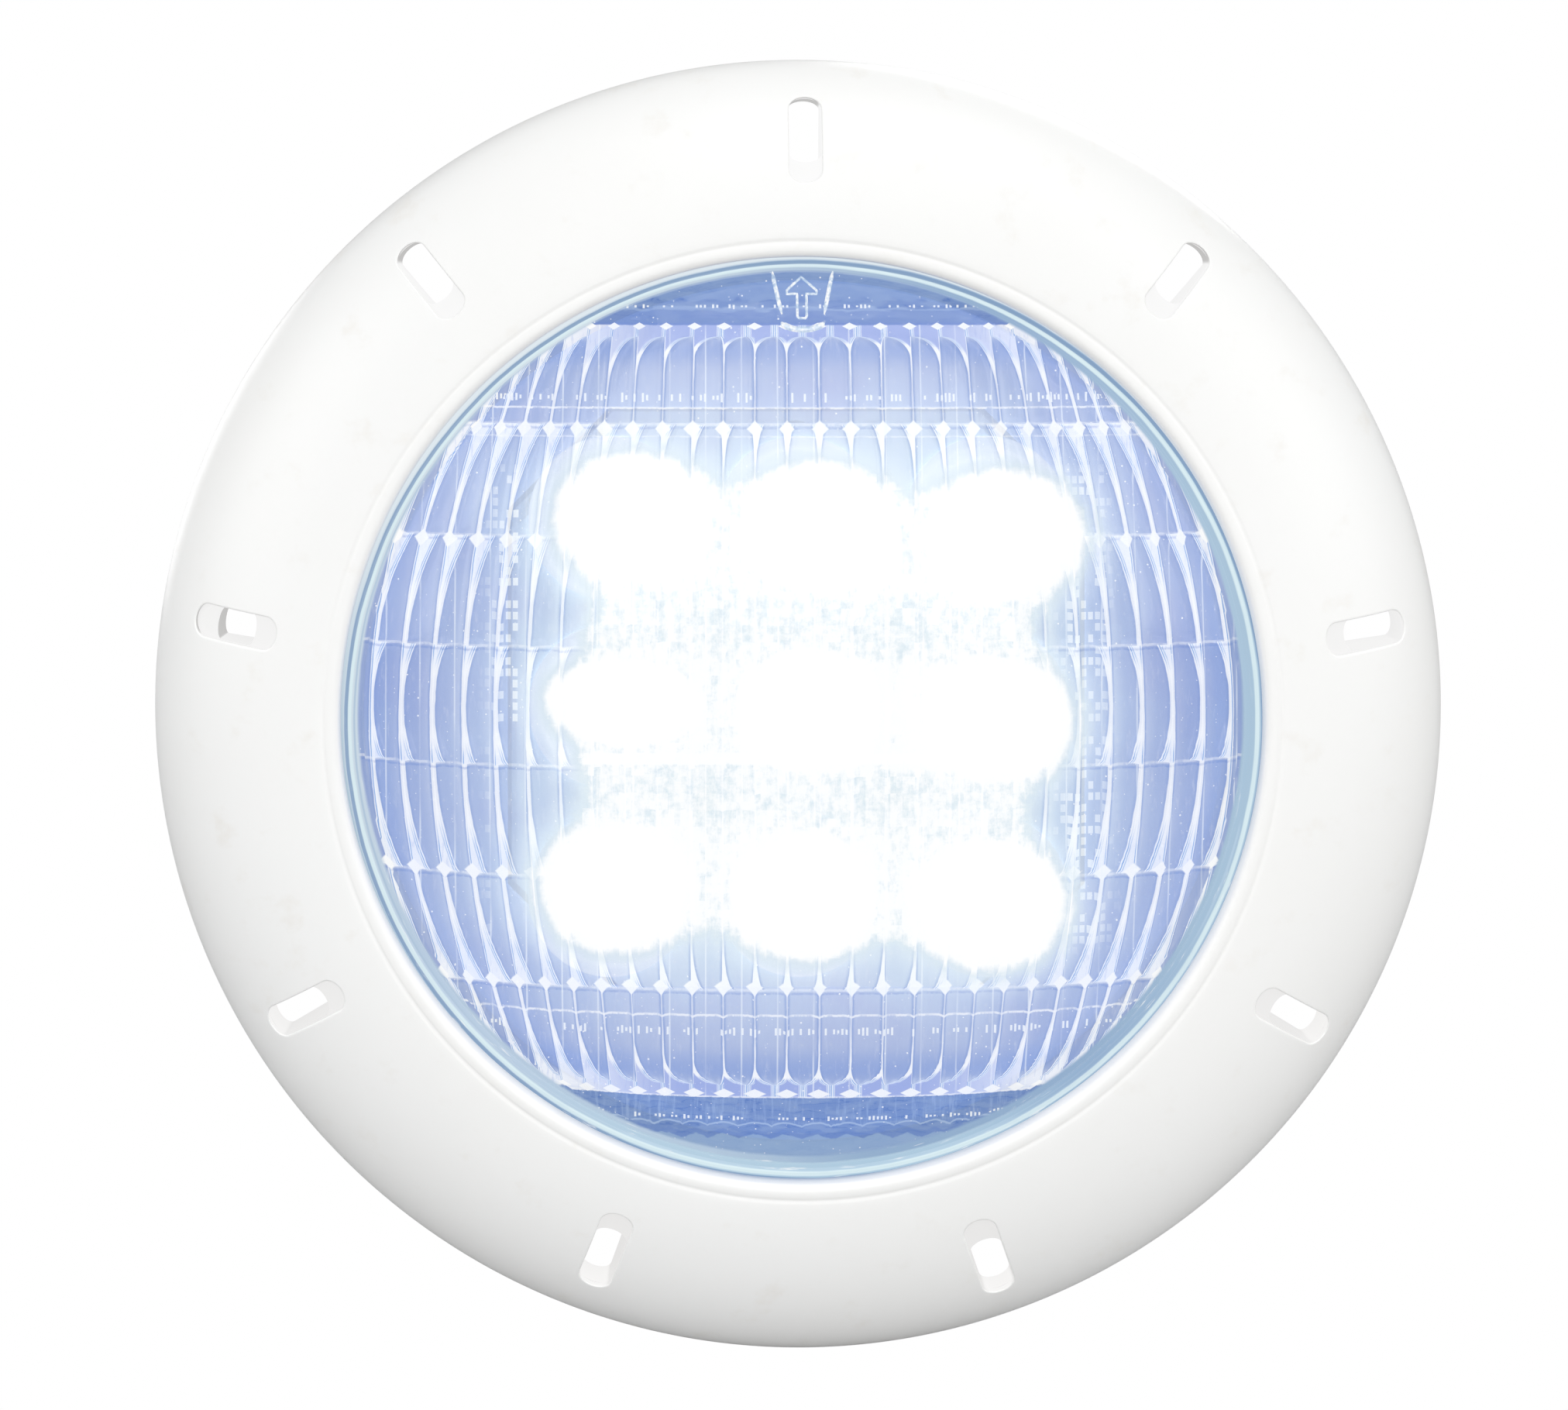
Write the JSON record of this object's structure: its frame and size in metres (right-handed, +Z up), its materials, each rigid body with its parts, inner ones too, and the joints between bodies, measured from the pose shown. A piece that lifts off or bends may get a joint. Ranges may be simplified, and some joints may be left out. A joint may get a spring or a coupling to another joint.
{
  "type": "underwater pool light",
  "caption": "Round underwater pool light: domed slotted face ring with bayonet twist, clear prismatic lens, sealed LED lamp body, niche hook and supply cable.",
  "frame": {"origin": "centre of the flat boss on the back of the housing", "axes": "+Y out of the back into the niche, so the light shines towards -Y; +Z up with the pilot slot at 12 o'clock; +X to the right as the swimmer sees it"},
  "size_m": [0.276, 0.1557, 0.276],
  "materials": {
    "white_abs": "satin moulded ABS, fine mould texture",
    "clear_lens": "clear moulded polycarbonate, prismatic",
    "silicone_seal": "matt silicone",
    "grey_polymer": "glass-filled polymer, fine grain",
    "stainless": "stainless steel, brushed",
    "aluminium": "machined aluminium",
    "thermal_pad": "matt gap filler",
    "board_white": "white solder mask",
    "led_emitter": "silicone dome on a white package",
    "optic_clear": "polished acrylic",
    "bezel_blue": "satin, tinted blue",
    "board_green": "green solder mask",
    "coil_copper": "enamelled copper winding",
    "capacitor_sleeve": "shrink sleeve",
    "connector_green": "polyamide",
    "lead_red": "silicone insulation",
    "lead_black": "silicone insulation",
    "nylon_black": "moulded nylon",
    "cable_jacket": "extruded rubber",
    "core_brown": "core insulation",
    "core_blue": "core insulation"
  },
  "bodies": {
    "lamp": {"board_screw_1": "stainless", "board_screw_2": "stainless", "board_screw_3": "stainless", "board_screw_4": "stainless", "capacitor_1": "capacitor_sleeve", "capacitor_2": "capacitor_sleeve", "clamp_screw_1": "stainless", "clamp_screw_2": "stainless", "clamp_screw_3": "stainless", "clamp_screw_4": "stainless", "clamp_screw_5": "stainless", "clamp_screw_6": "stainless", "clamp_screw_7": "stainless", "clamp_screw_8": "stainless", "clamp_screw_9": "stainless", "core_blue": "core_blue", "core_brown": "core_brown", "driver_board": "board_green", "driver_coil": "coil_copper", "gland_body": "nylon_black", "gland_lock_nut": "nylon_black", "gland_nut": "nylon_black", "gland_o_ring": "silicone_seal", "gland_seal": "silicone_seal", "heat_sink": "aluminium", "heat_sink_screw_1": "stainless", "heat_sink_screw_2": "stainless", "heat_sink_screw_3": "stainless", "housing": "grey_polymer", "inner_bezel": "bezel_blue", "led_1": "led_emitter", "led_2": "led_emitter", "led_3": "led_emitter", "led_4": "led_emitter", "led_5": "led_emitter", "led_6": "led_emitter", "led_7": "led_emitter", "led_8": "led_emitter", "led_9": "led_emitter", "led_board": "board_white", "led_lead_black": "lead_black", "led_lead_red": "lead_red", "lens": "clear_lens", "lens_clamp_ring": "grey_polymer", "lens_gasket": "silicone_seal", "niche_hook": "stainless", "optic_1": "optic_clear", "optic_2": "optic_clear", "optic_3": "optic_clear", "optic_4": "optic_clear", "optic_5": "optic_clear", "optic_6": "optic_clear", "optic_7": "optic_clear", "optic_8": "optic_clear", "optic_9": "optic_clear", "optic_frame": "board_white", "supply_cable": "cable_jacket", "terminal_block": "connector_green", "thermal_pad": "thermal_pad"},
    "ring": {"face_ring": "white_abs"}
  },
  "joints": [
    {"name": "face_ring_twist", "type": "hinge", "parent": "lamp", "child": "ring", "pos_m": [0, -0.06, 0], "axis": [0, -1, 0], "range_deg": [0, 12]}
  ]
}
